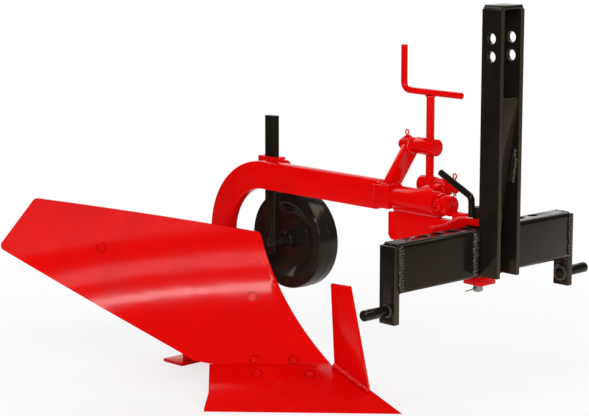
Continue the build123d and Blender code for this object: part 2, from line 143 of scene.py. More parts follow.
def makePaintSkin():  # orange peel, slow waves, tone and nibs of dust in sprayed enamel
    values = skinValues
    inputs = [("Peel Scale", 700.0), ("Peel Depth", 0.5), ("Wave Scale", 30.0), ("Wave Depth", 0.5),
              ("Nib Amount", 0.5), ("Rough Low", 0.2), ("Rough High", 0.3)]
    tree, entry, leave = newGroup("paintSkin", inputs, ["Height", "Tone", "Roughness"])
    where = addNode(tree, "ShaderNodeTexCoord").outputs["Object"]
    peel = addNode(tree, "ShaderNodeTexNoise", Vector=where, Scale=entry.outputs["Peel Scale"],
                   Detail=2.0)
    wave = addNode(tree, "ShaderNodeTexNoise", Vector=where, Scale=entry.outputs["Wave Scale"],
                   Detail=1.0)
    tone = addNode(tree, "ShaderNodeTexNoise", Vector=where, Scale=values["toneScale"],
                   Detail=values["toneDetail"], Roughness=values["toneRough"])
    cells = addNode(tree, "ShaderNodeTexVoronoi", Vector=where, Scale=values["nibCells"])
    rare = addNode(tree, "ShaderNodeSeparateColor", Color=cells.outputs["Color"]).outputs[0]
    near = mathNode(tree, "LESS_THAN", cells.outputs["Distance"], values["nibSize"])
    picked = mathNode(tree, "GREATER_THAN", rare, values["nibRarity"])
    dust = mathNode(tree, "MULTIPLY", near, picked)
    nibs = mathNode(tree, "MULTIPLY", dust, entry.outputs["Nib Amount"])
    peelHeight = mathNode(tree, "MULTIPLY", peel.outputs[0], entry.outputs["Peel Depth"])
    waveHeight = mathNode(tree, "MULTIPLY", wave.outputs[0], entry.outputs["Wave Depth"])
    height = mathNode(tree, "ADD", peelHeight, waveHeight)
    tree.links.new(mathNode(tree, "ADD", height, nibs), leave.inputs["Height"])
    shade = mapRange(tree, tone.outputs[0], fromMin=values["toneLow"], fromMax=values["toneHigh"])
    tree.links.new(shade, leave.inputs["Tone"])
    gloss = mapRange(tree, tone.outputs[0], fromMin=values["glossLow"], fromMax=values["glossHigh"],
                     toMin=entry.outputs["Rough Low"], toMax=entry.outputs["Rough High"])
    tree.links.new(gloss, leave.inputs["Roughness"])
    return tree


wearValues = {"chipScale": 160.0, "patchScale": 26.0, "start": 0.5, "reach": 0.3}


def makeEdgeWear():  # small chips where enamel is thin over an edge
    inputs = [("Chip Scale", wearValues["chipScale"]), ("Chip Share", 0.3)]
    tree, entry, leave = newGroup("edgeWear", inputs, ["Chips"])
    where = addNode(tree, "ShaderNodeTexCoord").outputs["Object"]
    patches = addNode(tree, "ShaderNodeTexNoise", Vector=where, Scale=wearValues["patchScale"],
                      Detail=2.0)
    grains = addNode(tree, "ShaderNodeTexNoise", Vector=where, Scale=entry.outputs["Chip Scale"],
                     Detail=3.0)
    both = mathNode(tree, "MULTIPLY", patches.outputs[0], grains.outputs[0])
    share = mathNode(tree, "MULTIPLY", entry.outputs["Chip Share"], wearValues["reach"])
    line = mathNode(tree, "SUBTRACT", wearValues["start"], share)
    tree.links.new(mathNode(tree, "GREATER_THAN", both, line), leave.inputs["Chips"])
    return tree


paintSkin = makePaintSkin()
edgeWear = makeEdgeWear()

# finishes
redLook = {
    "colour": (0.80, 0.0022, 0.0012), "shade": (0.71, 0.0015, 0.001),
    "specular": 0.12, "tint": (1, 1, 1), "roughLow": 0.10, "roughHigh": 0.16,
    "peelScale": 520.0, "peelDepth": 0.35, "waveScale": 34.0, "waveDepth": 0.9,
    "nibs": 0.3, "bump": 0.08, "chip": (0.20, 0.006, 0.004), "chipShare": 0.10,
}
boardLook = dict(redLook, specular=0.20, roughLow=0.12, peelScale=420.0, peelDepth=0.5,
                 waveDepth=0.25, bump=0.05, nibs=0.15)
redWeldLook = dict(redLook, specular=0.85, roughHigh=0.18, bump=0.2, peelScale=300.0)
# painted shade: dark red for the shaded gap round the plough bolt heads
gapShadeLook = dict(redLook, colour=(0.10, 0.001, 0.001), shade=(0.06, 0.001, 0.001))
blackLook = {
    "colour": (0.0085, 0.0072, 0.0054), "shade": (0.0120, 0.0098, 0.0072),
    "specular": 0.21, "tint": (1, 0.70, 0.42), "roughLow": 0.08, "roughHigh": 0.15,
    "peelScale": 600.0, "peelDepth": 0.5, "waveScale": 26.0, "waveDepth": 1.1,
    "nibs": 0.8, "bump": 0.08, "chip": (0.05, 0.045, 0.04), "chipShare": 0.16,
}
# painted highlight: a lighter brown copy of the black enamel for its edges and front faces
paintedHighlightBlackLook = dict(blackLook, colour=(0.036, 0.027, 0.016), shade=(0.042, 0.031, 0.019))
blackWeldLook = dict(blackLook, colour=(0.016, 0.0125, 0.0095), shade=(0.026, 0.021, 0.016),
                     specular=0.6, tint=(1, 0.95, 0.88), roughLow=0.10, roughHigh=0.24,
                     bump=0.35, peelScale=300.0)
# painted light: a lighter copy of the black enamel for the lit inclined mast panel
paintedLightPanelLook = dict(blackLook, colour=(0.026, 0.0195, 0.0125), shade=(0.030, 0.0225, 0.0145))
wheelLook = dict(blackLook, colour=(0.013, 0.0128, 0.010), shade=(0.017, 0.0160, 0.0125),
                 roughLow=0.12, roughHigh=0.20, peelDepth=0.2, waveScale=18.0, waveDepth=0.6,
                 specular=0.22)
castIronLook = dict(blackLook, roughLow=0.30, roughHigh=0.45, peelScale=900.0, peelDepth=2.0,
                    bump=0.5)
skinInputs = {"Peel Scale": "peelScale", "Peel Depth": "peelDepth", "Wave Scale": "waveScale",
              "Wave Depth": "waveDepth", "Nib Amount": "nibs", "Rough Low": "roughLow",
              "Rough High": "roughHigh"}
enamelBump = 0.0006  # metres


def newMaterial(name):
    material = bpy.data.materials.new(name)
    material.use_nodes = True
    return material, material.node_tree, material.node_tree.nodes["Principled BSDF"]


def mixColours(tree, first, second, share):
    node = addNode(tree, "ShaderNodeMix", {"data_type": "RGBA"})
    for label, colour in (("A", first), ("B", second)):
        if isinstance(colour, bpy.types.NodeSocket):
            tree.links.new(colour, node.inputs[label])
        else:
            node.inputs[label].default_value = (*colour, 1)
    tree.links.new(share, node.inputs["Factor"])
    return node.outputs["Result"]


def makeEnamel(name, look, worn=False):
    material, tree, shader = newMaterial(name)
    skin = addNode(tree, "ShaderNodeGroup", {"node_tree": paintSkin})
    for label, key in skinInputs.items():
        skin.inputs[label].default_value = look[key]
    colour = mixColours(tree, look["colour"], look["shade"], skin.outputs["Tone"])
    if worn:
        wear = addNode(tree, "ShaderNodeGroup", {"node_tree": edgeWear})
        wear.inputs["Chip Share"].default_value = look["chipShare"]
        colour = mixColours(tree, colour, look["chip"], wear.outputs["Chips"])
    tree.links.new(colour, shader.inputs["Base Color"])
    tree.links.new(skin.outputs["Roughness"], shader.inputs["Roughness"])
    shader.inputs["Specular IOR Level"].default_value = look["specular"]
    shader.inputs["Specular Tint"].default_value = (*look["tint"], 1)
    bump = addNode(tree, "ShaderNodeBump", Strength=look["bump"], Distance=enamelBump,
                   Height=skin.outputs["Height"])
    tree.links.new(bump.outputs[0], shader.inputs["Normal"])
    return material


steelLook = {
    "colour": (0.42, 0.40, 0.36), "darker": 0.55, "grain": 900.0, "stretch": (0.05, 1, 1),
    "roughLow": 0.224, "roughHigh": 0.448, "bump": 0.25, "bumpReach": 0.0003,
}


def makeSteel(name, look):  # turned steel with grain drawn along X
    material, tree, shader = newMaterial(name)
    where = addNode(tree, "ShaderNodeTexCoord").outputs["Object"]
    drawn = addNode(tree, "ShaderNodeMapping", Vector=where, Scale=look["stretch"])
    lines = addNode(tree, "ShaderNodeTexNoise", Vector=drawn.outputs[0], Scale=look["grain"],
                    Detail=4.0).outputs[0]
    dark = [look["darker"] * channel for channel in look["colour"]]
    tree.links.new(mixColours(tree, look["colour"], dark, lines), shader.inputs["Base Color"])
    gloss = mapRange(tree, lines, toMin=look["roughLow"], toMax=look["roughHigh"])
    tree.links.new(gloss, shader.inputs["Roughness"])
    shader.inputs["Metallic"].default_value = 1.0
    bump = addNode(tree, "ShaderNodeBump", Strength=look["bump"], Distance=look["bumpReach"],
                   Height=lines)
    tree.links.new(bump.outputs[0], shader.inputs["Normal"])
    return material


def enamelPair(name, look, edgeLook=None):  # the paint, and the worn paint over its edges; a separate edge look paints the edges lighter, a painted highlight
    return makeEnamel(name, look), makeEnamel(name + "Edge", edgeLook or look, True)


finishes = {
    "red": enamelPair("redEnamel", redLook),
    "board": enamelPair("boardEnamel", boardLook),
    "black": enamelPair("blackEnamel", blackLook, paintedHighlightBlackLook),
    "panel": enamelPair("panelEnamelPaintedLight", paintedLightPanelLook),
    "wheel": enamelPair("wheelEnamel", wheelLook),
    "redWeld": (makeEnamel("redWeldBead", redWeldLook),) * 2,
    "blackWeld": (makeEnamel("blackWeldBead", blackWeldLook),) * 2,
    "iron": (makeEnamel("pinHeadBlack", castIronLook),) * 2,
    "steel": (makeSteel("turnedSteel", steelLook),) * 2,
    "gap": (makeEnamel("paintedGapShade", gapShadeLook),) * 2,
}
print("finishes ready")


# steps that every piece goes through
def pickOnly(*objects):
    if bpy.context.object and bpy.context.object.mode != "OBJECT":
        bpy.ops.object.mode_set(mode="OBJECT")
    bpy.ops.object.select_all(action="DESELECT")
    for obj in objects:
        obj.select_set(True)
    bpy.context.view_layer.objects.active = objects[0]


def bakePlace(obj):
    pickOnly(obj)
    bpy.ops.object.transform_apply(location=True, rotation=True, scale=True)


def settle(obj, name, body, finish, angle=35):  # finish a piece, hand it to its body
    bakePlace(obj)
    obj.name = name
    if not obj.data.materials:
        for material in finishes[finish]:
            obj.data.materials.append(material)
    bpy.ops.object.shade_smooth_by_angle(angle=radians(angle))
    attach(obj, body)
    return obj


def applyModifier(obj, kind, **settings):
    modifier = obj.modifiers.new(kind.lower(), kind)
    for key, value in settings.items():
        setattr(modifier, key, value)
    pickOnly(obj)
    bpy.ops.object.modifier_apply(modifier=modifier.name)


def roundEdges(obj, width, segments=2, angle=40):
    applyModifier(obj, "BEVEL", width=width / 1000, segments=segments, limit_method="ANGLE",
                  angle_limit=radians(angle), material=1, use_clamp_overlap=True)


def mergeDoubles(obj, flatten=False):  # flatten also joins faces that lie in one plane
    pickOnly(obj)
    bpy.ops.object.mode_set(mode="EDIT")
    bpy.ops.mesh.select_all(action="SELECT")
    bpy.ops.mesh.remove_doubles(threshold=mergeGap)
    if flatten:
        bpy.ops.mesh.dissolve_limited(angle_limit=flatTurn)
    bpy.ops.object.mode_set(mode="OBJECT")


def turnTo(axis):  # turns a piece's +Z to an axis
    return Vector((0, 0, 1)).rotation_difference(Vector(axis)).to_matrix().to_4x4()


def place(obj, centre, axis):
    obj.matrix_world = Matrix.Translation(centre) @ turnTo(axis) @ obj.matrix_world
    return obj


def at(obj, x, y, z, axis=(0, 0, 1)):
    return place(obj, spot(x, y, z), axis)


def joinPieces(objects):
    pickOnly(*objects)
    bpy.ops.object.join()
    return bpy.context.object


hexShape = {"turned": 36, "foot": 0.72, "top": 0.44, "tall": 1.02}  # the cone that turns corners


def hexHead(across, thick):  # a hexagonal head or nut with its corners turned down
    bpy.ops.object.select_all(action="DESELECT")
    bpy.ops.mesh.primitive_cylinder_add(vertices=6, radius=across / sqrt(3) / 1000,
                                        depth=thick / 1000, location=(0, 0, thick / 2000))
    head = bpy.context.object
    bpy.ops.object.transform_apply(location=True)
    bpy.ops.mesh.primitive_cone_add(
        vertices=hexShape["turned"], radius1=across * hexShape["foot"] / 1000,
        radius2=across * hexShape["top"] / 1000, depth=thick * hexShape["tall"] / 1000,
        location=(0, 0, thick / 2000))
    cone = bpy.context.object
    applyModifier(head, "BOOLEAN", operation="INTERSECT", object=cone, solver="EXACT")
    bpy.data.objects.remove(cone)
    return head


# weld beads
weldDrop = {
    "segments": 8, "rings": 5, "pitch": 0.42, "height": 0.62, "long": 0.95,
    "loose": 0.12, "sway": 0.06, "leanLow": 10, "leanHigh": 24,
}
randomWeld = random.Random(7)


def makeDrop():
    bpy.ops.object.select_all(action="DESELECT")
    bpy.ops.mesh.primitive_uv_sphere_add(segments=weldDrop["segments"], radius=0.5,
                                         ring_count=weldDrop["rings"])
    drop = bpy.context.object
    drop.name = "weldDrop"
    return drop


dropShape = makeDrop()


def weld(name, path, width, body, finish, out, closed=False):
    # overlapping flattened drops along a path in millimetres; out is the way the bead faces
    corners = [spot(*p) for p in path]
    if closed:
        corners.append(corners[0])
    width = width / 1000
    loose, sway = weldDrop["loose"], weldDrop["sway"]
    drops = []
    for start, end in zip(corners, corners[1:]):
        run = end - start
        count = max(1, round(run.length / (width * weldDrop["pitch"])))
        along = run.normalized()
        facing = Vector(out(start + run / 2) if callable(out) else out).normalized()
        side = along.cross(facing).normalized()
        facing = side.cross(along).normalized()
        turn = Matrix((along, side, facing)).transposed().to_4x4()
        for step in range(count):
            wide = width * randomWeld.uniform(1 - loose, 1 + loose)
            centre = start + run * ((step + 0.5) / count)
            centre += side * width * randomWeld.uniform(-sway, sway)
            copy = dropShape.copy()
            copy.data = dropShape.data.copy()
            size = Matrix.Diagonal((wide * weldDrop["long"], wide, wide * weldDrop["height"], 1))
            lean = randomWeld.uniform(weldDrop["leanLow"], weldDrop["leanHigh"])
            copy.matrix_world = (Matrix.Translation(centre) @ turn
                                 @ Matrix.Rotation(radians(lean), 4, "Y") @ size)
            bpy.context.collection.objects.link(copy)
            drops.append(copy)
    bead = joinPieces(drops)
    return settle(bead, name, body, finish, 80)


def circlePath(centre, axis, radius, steps, start, end):
    turn = turnTo(axis).to_3x3()
    points = []
    for step in range(steps + (end - start < 360)):
        angle = radians(start + (end - start) * step / steps)
        points.append(Vector(centre) + turn @ Vector((cos(angle), sin(angle), 0)) * radius)
    return points


# CAD pieces with rounded edges
bodies = frame["record"]["behaviour"]["bodies"]
bodyOf = {node: body for body, members in bodies.items() for node in members}
edgeTable = {  # node: finish, edge rounding in millimetres
    "crossbar": ("black", 0.8), "end_plate_right": ("black", 1.6), "end_plate_left": ("black", 1.6),
    "link_pin_right": ("black", 0.7), "link_pin_left": ("black", 0.7),
    "mast_bar_right": ("black", 1.8), "mast_bar_left": ("black", 1.8), "mast_cap": ("black", 2.0),
    "mast_panel": ("panel", 1.2),
    "head_top_plate": ("red", 2.0), "head_base_plate": ("red", 2.0),
    "head_back_plate": ("red", 2.0), "head_web": ("red", 2.0), "roll_tube": ("red", 1.0),
    "lower_bush": ("red", 1.2), "bush_gusset": ("red", 1.0), "swivel": ("red", 1.5),
    "tilt_nut": ("red", 1.8),
    "tilt_arm": ("red", 2.0), "upper_bush": ("red", 1.2), "beam": ("red", 2.6),
    "beam_block": ("red", 3.0), "share": ("board", 0.8), "coulter": ("board", 1.6),
    "landside": ("red", 1.8), "heel_foot": ("red", 1.5), "heel_flange": ("red", 1.2),
    "frog": ("red", 1.5), "frog_saddle": ("red", 1.2), "frog_lug": ("red", 1.0),
    "tail_stay": ("red", 1.2), "stem_sleeve": ("red", 1.5), "gauge_stem": ("black", 1.2),
}
# bars and plates whose front faces take the lighter edge paint, a painted highlight where light
# falls on them
paintedHighlightFrontNodes = ("mast_bar_right", "mast_bar_left", "end_plate_right", "end_plate_left")
frontShare = 0.9  # a face is a front where its normal leans this far forward


def copyNode(node, finish, flatten=False):  # a merged copy of a CAD node's mesh, in a finish
    source = nodes[node]
    obj = source.copy()
    obj.data = source.data.copy()
    for key in list(obj.keys()):
        if key.startswith("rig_"):
            del obj[key]
    obj.parent = None
    bpy.context.collection.objects.link(obj)
    obj.data.materials.clear()
    for material in finishes[finish]:
        obj.data.materials.append(material)
    pickOnly(obj)
    bpy.ops.mesh.customdata_custom_splitnormals_clear()
    mergeDoubles(obj, flatten)
    return obj


def finishNode(node, finish, rounding):
    obj = copyNode(node, finish, True)
    roundEdges(obj, rounding)
    # painted highlight: forward-facing faces of these bars and plates take the lighter edge paint
    if node in paintedHighlightFrontNodes:
        for face in obj.data.polygons:
            if face.normal.x > frontShare:
                face.material_index = 1
    settle(obj, node + ".finished", bodyOf[node], finish, 32)
    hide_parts(node)


for node, (finish, rounding) in edgeTable.items():
    finishNode(node, finish, rounding)
print("rounded pieces ready")


# turned shapes, bent wire and bars
def startPoint():  # a mesh of one point at the origin, picked and open in edit mode
    bpy.ops.object.select_all(action="DESELECT")
    bpy.ops.mesh.primitive_plane_add(size=0.001, location=(0, 0, 0))
    bpy.ops.object.mode_set(mode="EDIT")
    bpy.ops.mesh.select_mode(type="VERT")
    bpy.ops.mesh.select_all(action="SELECT")
    bpy.ops.mesh.merge(type="CENTER")
    return bpy.context.object


def lathe(profile, steps, closed=False):  # spins (radius, height) points in millimetres about +Z
    obj = startPoint()
    points = [Vector((radius, 0, height)) / 1000 for radius, height in profile]
    if closed:
        points.append(points[0])
    bpy.ops.transform.translate(value=points[0])
    for start, end in zip(points, points[1:]):
        bpy.ops.mesh.extrude_region_move(TRANSFORM_OT_translate={"value": end - start})
    bpy.ops.mesh.select_all(action="SELECT")
    bpy.ops.mesh.spin(steps=steps, angle=2 * pi, center=(0, 0, 0), axis=(0, 0, 1))
    bpy.ops.mesh.select_all(action="SELECT")
    bpy.ops.mesh.remove_doubles(threshold=mergeGap)
    bpy.ops.mesh.normals_make_consistent(inside=False)
    bpy.ops.object.mode_set(mode="OBJECT")
    return obj


def wire(points, thick):  # a round wire through points in millimetres from home
    curve = bpy.data.curves.new("wire", "CURVE")
    curve.dimensions = "3D"
    curve.bevel_depth, curve.bevel_resolution, curve.resolution_u = thick / 2000, 3, 5
    curve.use_fill_caps = True
    spline = curve.splines.new("NURBS")
    spline.points.add(len(points) - 1)
    for knot, point in zip(spline.points, points):
        knot.co = (*spot(*point), 1)
    spline.order_u = 3
    spline.use_endpoint_u = True
    obj = bpy.data.objects.new("wire", curve)
    bpy.context.collection.objects.link(obj)
    pickOnly(obj)
    bpy.ops.object.convert(target="MESH")
    return bpy.context.object


def bar(low, high, rounding):  # a rounded block between two corners, millimetres
    bpy.ops.object.select_all(action="DESELECT")
    bpy.ops.mesh.primitive_cube_add(size=0.001)
    obj = bpy.context.object
    obj.scale = [high[k] - low[k] for k in range(3)]
    obj.location = spot(*((low[k] + high[k]) / 2 for k in range(3)))
    bpy.ops.object.transform_apply(location=True, scale=True)
    roundEdges(obj, rounding, 3)
    return obj


# gauge wheel: two pressed halves on an axle
wheelShape = {
    "x": -688.5, "z": 317, "middle": 110.5, "sides": 96,
    "half": [  # radius, distance from the wheel's middle
        (10.2, -31.5), (17, -31.5), (18.5, -30), (19, -12), (21, -8), (24, -7.2), (44, -6.6),
        (45, -7.6), (47, -7.6), (48, -6.4), (57, -5.6), (61, -6.5), (64, -9), (82, -24),
        (85, -27.5), (88, -29.6), (91, -30.4), (106, -30.5), (110, -29.4), (113, -26.5),
        (114, -22.5), (114, -3), (114.8, -2)],
    "axle": [
        (0, 29), (4, 29.2), (8, 30.2), (10.5, 32), (11, 33.5), (13, 33.7), (13.2, 35), (10, 35),
        (10, 51), (12.4, 51), (13, 51.8), (13, 75.4), (12.4, 76), (10, 76), (10, 142.5),
        (14, 142.5), (14, 145), (10, 145), (10, 153.6), (9, 155), (0, 155)],
    "axleSides": 40, "nut": (22, 9), "nutY": 145,
}


def makeWheel():
    shape = wheelShape
    near = shape["half"]
    far = [(radius, -across) for radius, across in reversed(near)]
    wheel = lathe(near + far, shape["sides"], True)
    at(wheel, shape["x"], shape["middle"], shape["z"], (0, 1, 0))
    settle(wheel, "gaugeWheel", "wheel", "wheel", 28)
    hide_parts("gauge_wheel")
    axle = lathe(shape["axle"], shape["axleSides"])
    at(axle, shape["x"], 0, shape["z"], (0, 1, 0))
    settle(axle, "wheelAxle", "stem", "wheel", 28)
    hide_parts("wheel_axle")
    nut = at(hexHead(*shape["nut"]), shape["x"], shape["nutY"], shape["z"], (0, 1, 0))
    settle(nut, "axleNut", "stem", "wheel", 25)


makeWheel()

# roll shaft, its slotted collar and the bolt in its end
shaftShape = {
    "x": -265, "z": 480, "sides": 56,
    "profile": [(0, 0), (21, 0), (21, 136), (21.2, 137), (21.2, 159), (20.6, 160.4), (19, 161),
                (3.4, 161), (3, 160.4), (3, 152), (0, 151)],
    "collar": [(21.05, 0), (23.4, 0), (24.4, 1), (24.4, 9), (23.4, 10), (21.05, 10)],
    "collarX": -137, "notches": 6, "notchTurn": 20, "notchReach": 27,
    "notchLow": (-132, -3, -9), "notchHigh": (-124, 3, 9), "notchRounding": 0.2,
    "bolt": (11, 6), "boltAt": (-119, -21.5, 477),
}


def makeShaft():
    shape = shaftShape
    shaft = lathe(shape["profile"], shape["sides"])
    at(shaft, shape["x"], 0, shape["z"], (1, 0, 0))
    settle(shaft, "rollShaft", "plough", "red", 30)
    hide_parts("roll_shaft")
    collar = lathe(shape["collar"], shape["sides"], True)
    bakePlace(at(collar, shape["collarX"], 0, shape["z"], (1, 0, 0)))
    for number in range(shape["notches"]):
        turn = radians(shape["notchTurn"] + 360 / shape["notches"] * number)
        notch = bar(shape["notchLow"], shape["notchHigh"], shape["notchRounding"])
        rim = spot(0, sin(turn) * shape["notchReach"], shape["z"] + cos(turn) * shape["notchReach"])
        notch.matrix_world = (Matrix.Translation(rim) @ Matrix.Rotation(-turn, 4, "X")
                              @ Matrix.Translation(-spot(0, 0, 0)))
        applyModifier(collar, "BOOLEAN", operation="DIFFERENCE", object=notch, solver="EXACT")
        bpy.data.objects.remove(notch)
    collar.data.materials.clear()
    settle(collar, "shaftCollar", "plough", "red", 30)
    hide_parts("shaft_collar")
    x, y, z = shape["boltAt"]
    outward = (0, y, z - shape["z"])
    settle(at(hexHead(*shape["bolt"]), x, y, z, outward), "shaftBolt", "plough", "red", 25)


makeShaft()

# tilt screw with a rolled thread
screwShape = {
    "x": -223, "y": 60, "low": 493, "high": 694, "root": 8.5, "crest": 9.0,
    "pitch": 2.5, "flank": 0.35, "flat": 0.2, "valley": 0.1, "sides": 20,  # shares of the pitch
    "foot": [(0, 0), (10.6, 0), (12, 1), (12, 5), (10.6, 6), (8.4, 6), (8.4, 18), (0, 18)],
    "footLow": 479, "footSides": 36,
}


def makeScrew():
    shape = screwShape
    pitch = shape["pitch"]
    turns = int((shape["high"] - shape["low"]) / pitch) - 1
    thread = startPoint()
    bpy.ops.transform.translate(value=(shape["root"] / 1000, 0, 0))
    rise = (shape["crest"] - shape["root"]) / 1000
    for out, along in ((rise, "flank"), (0, "flat"), (-rise, "flank"), (0, "valley")):
        step = (out, 0, pitch * shape[along] / 1000)
        bpy.ops.mesh.extrude_region_move(TRANSFORM_OT_translate={"value": step})
    bpy.ops.object.mode_set(mode="OBJECT")
    applyModifier(thread, "SCREW", axis="Z", angle=2 * pi, screw_offset=pitch / 1000,
                  iterations=turns, steps=shape["sides"], render_steps=shape["sides"],
                  use_merge_vertices=True, merge_threshold=mergeGap)
    bpy.ops.object.mode_set(mode="EDIT")
    bpy.ops.mesh.select_all(action="SELECT")
    bpy.ops.mesh.remove_doubles(threshold=mergeGap)
    bpy.ops.mesh.select_all(action="DESELECT")
    bpy.ops.mesh.select_mode(type="EDGE")
    bpy.ops.mesh.select_non_manifold()
    bpy.ops.mesh.fill_holes(sides=0)
    bpy.ops.mesh.select_all(action="SELECT")
    bpy.ops.mesh.normals_make_consistent(inside=False)
    bpy.ops.object.mode_set(mode="OBJECT")
    at(thread, shape["x"], shape["y"], shape["low"])
    foot = at(lathe(shape["foot"], shape["footSides"]), shape["x"], shape["y"], shape["footLow"])
    screw = joinPieces([thread, foot])
    settle(screw, "tiltScrew", "crank", "red", 30)
    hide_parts("tilt_screw")


makeScrew()

# clamp bolt and lock nut on the stem's sleeve, and the web plate beside it
clampShape = {
    "y": 41, "z": 502.5, "across": 17, "nutX": -664, "nutThick": 7, "headX": -652, "headThick": 13,
    "shankX": -679, "radius": 6, "grooves": 24, "groove": 0.5, "groovePitch": 1.1, "long": 27,
    "shankSides": 24, "webFoot": 497, "webRounding": 0.6,
    "webTop": {  # the sloping web's upper corners, by side in x and y
        (-1, -1): (-690, 12, 509.4), (1, -1): (-640, 12, 511.3),
        (-1, 1): (-689, 30.5, 509.2), (1, 1): (-657, 30.5, 515.3)},
}


def makeClamp():
    shape = clampShape
    y, z, radius = shape["y"], shape["z"], shape["radius"]
    grooves = [(radius - shape["groove"] * (step % 2), shape["groovePitch"] * step + 1)
               for step in range(shape["grooves"])]
    profile = [(0, 0), (radius, 0)] + grooves + [(0, shape["long"])]
    shank = lathe(profile, shape["shankSides"])
    parts = [
        at(shank, shape["shankX"], y, z, (1, 0, 0)),
        at(hexHead(shape["across"], shape["nutThick"]), shape["nutX"], y, z, (1, 0, 0)),
        at(hexHead(shape["across"], shape["headThick"]), shape["headX"], y, z, (1, 0, 0))]
    for part in parts:
        bakePlace(part)
    bolt = joinPieces(parts)
    settle(bolt, "clampBolt", "plough", "red", 25)
    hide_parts("clamp_bolt")
    bpy.ops.object.select_all(action="DESELECT")
    bpy.ops.mesh.primitive_cube_add(size=1)
    web = bpy.context.object
    for vertex in web.data.vertices:
        side = (1 if vertex.co.x > 0 else -1, 1 if vertex.co.y > 0 else -1)
        x, y, z = shape["webTop"][side]
        vertex.co = spot(x, y, z if vertex.co.z > 0 else shape["webFoot"])
    roundEdges(web, shape["webRounding"])
    settle(web, "sleeveWeb", "plough", "red", 30)


makeClamp()

# crank handle, and the draw pin with its lifting handle
rodShape = {
    "thick": 14, "endRounding": 1.6,
    "crank": [(-135, 60, 701), (-200, 60, 701), (-262, 60, 701), (-300, 60, 701), (-300, 60, 740),
              (-300, 60, 760), (-300, 60, 797)],
    "lifter": [(-40.2, -12.2, 468), (-40.2, -12.2, 486), (-40.2, -12.2, 497), (-42, -12.2, 509.5),
               (-58, -12.2, 517.4), (-82, -12.2, 528.6), (-127.6, -12.2, 550.5)],
}
drawPinShape = {
    "x": -30, "low": 316, "sides": 44,
    "body": [(0, 0), (10, 0), (10, 149), (12.2, 149), (13, 150), (13.2, 160), (13, 171.5),
             (12, 173), (0, 173.2)],
    "tip": [(0, 0), (6.5, 0), (8.6, 0.8), (10.15, 3), (10.15, 17), (0, 17)],
    "tipLow": 312.9, "tipSides": 40,
    "hole": [(0, -0.3), (2.6, -0.3), (2.9, 0), (3.4, 0.5), (3.9, 0.4), (4.1, -0.3), (4.1, -1),
             (0, -1)],
    "holeWay": (0.71, -0.70, 0), "holeReach": 9.4, "holeZ": 321, "holeSides": 24,
    "cotter": [(-30, -6, 319), (-30, -12, 319.4), (-30.5, -15, 321), (-31, -13, 322.4),
               (-31, -10, 320.6), (-31, -16, 319), (-31, -37, 318.4)],
    "cotterThick": 2.4,
}
cotterShape = {"eye": 4.9, "eyeShift": 0.6, "half": 1.5, "neck": 6, "spread": 2.5, "thick": 3.2}
cotters = [  # name, x, y, the heights of its neck, its eye and its ends, and its body
    ("upperCotter", -290, 60, 602, 610.5, 594, "nut"),
    ("lowerCotter", -152, 60, 521, 531, 488, "swivel"),
]


def makeRod(name, points, body, finish, replaced):
    rod = wire(points, rodShape["thick"])
    mergeDoubles(rod)
    rod.data.materials.clear()
    roundEdges(rod, rodShape["endRounding"], 3, 60)
    rod.data.materials.clear()
    settle(rod, name, body, finish, 50)
    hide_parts(replaced)


def makeCotter(name, x, y, foot, eye, legs, body):
    shape = cotterShape
    half, neck = shape["half"], foot - shape["neck"]
    loop = [(x + shape["eye"] * sin(radians(turn)), y + shape["eyeShift"],
             eye - shape["eye"] * cos(radians(turn))) for turn in range(330, 29, -30)]
    pin = wire([(x - half, y, legs), (x - half, y, neck), (x - half, y, foot)] + loop
               + [(x + half, y, foot), (x + half, y, neck), (x + half + shape["spread"], y, legs)],
               shape["thick"])
    settle(pin, name, body, "red", 60)


def makeDrawPin():
    shape = drawPinShape
    settle(at(lathe(shape["body"], shape["sides"]), shape["x"], 0, shape["low"]),
           "drawPinBody", "hitch", "iron", 35)


def makeDrawPinEnd():  # bare steel tip, its cross hole drawn as a black ring of painted shade, and its cotter
    shape = drawPinShape
    settle(wire(shape["cotter"], shape["cotterThick"]), "drawPinCotter", "hitch", "steel", 60)
    tip = lathe(shape["tip"], shape["tipSides"])
    settle(at(tip, shape["x"], 0, shape["tipLow"]), "drawPinTip", "hitch", "steel", 30)
    # painted shade: the cross hole is a black ring set into the tip, not a cut hole
    hole = lathe(shape["hole"], shape["holeSides"])
    across, aside, up = (shape["holeReach"] * way for way in shape["holeWay"])
    at(hole, shape["x"] + across, aside, shape["holeZ"] + up, shape["holeWay"])
    settle(hole, "drawPinHoleShade", "hitch", "iron", 30)


makeRod("crankHandle", rodShape["crank"], "crank", "red", "crank_handle")
makeRod("drawPinHandle", rodShape["lifter"], "hitch", "black", "draw_pin")
makeDrawPin()
for cotter in cotters:
    makeCotter(*cotter)
makeDrawPinEnd()
print("wheel, shaft, screw and small fittings ready")


# moldboard: the plate itself, plough bolts, paint ridges and nibs
boardShape = {"rounding": 0.7, "segments": 1, "edgeTurn": 50}


def finishBoard():
    obj = copyNode("moldboard", "board")
    roundEdges(obj, boardShape["rounding"], boardShape["segments"], boardShape["edgeTurn"])
    settle(obj, "moldboard.finished", "plough", "board", 40)
    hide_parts("moldboard")
    return obj


board = finishBoard()
shareFace = bpy.data.objects["share.finished"]
probeReach = 0.08  # metres in front of a surface that a probing ray starts from


def onSurface(surface, x, y, z):  # the spot on a surface's front, met from the furrow side
    front = viewAxes()[2]
    return surface.ray_cast(spot(x, y, z) + front * probeReach, -front)[1:3]  # place and normal


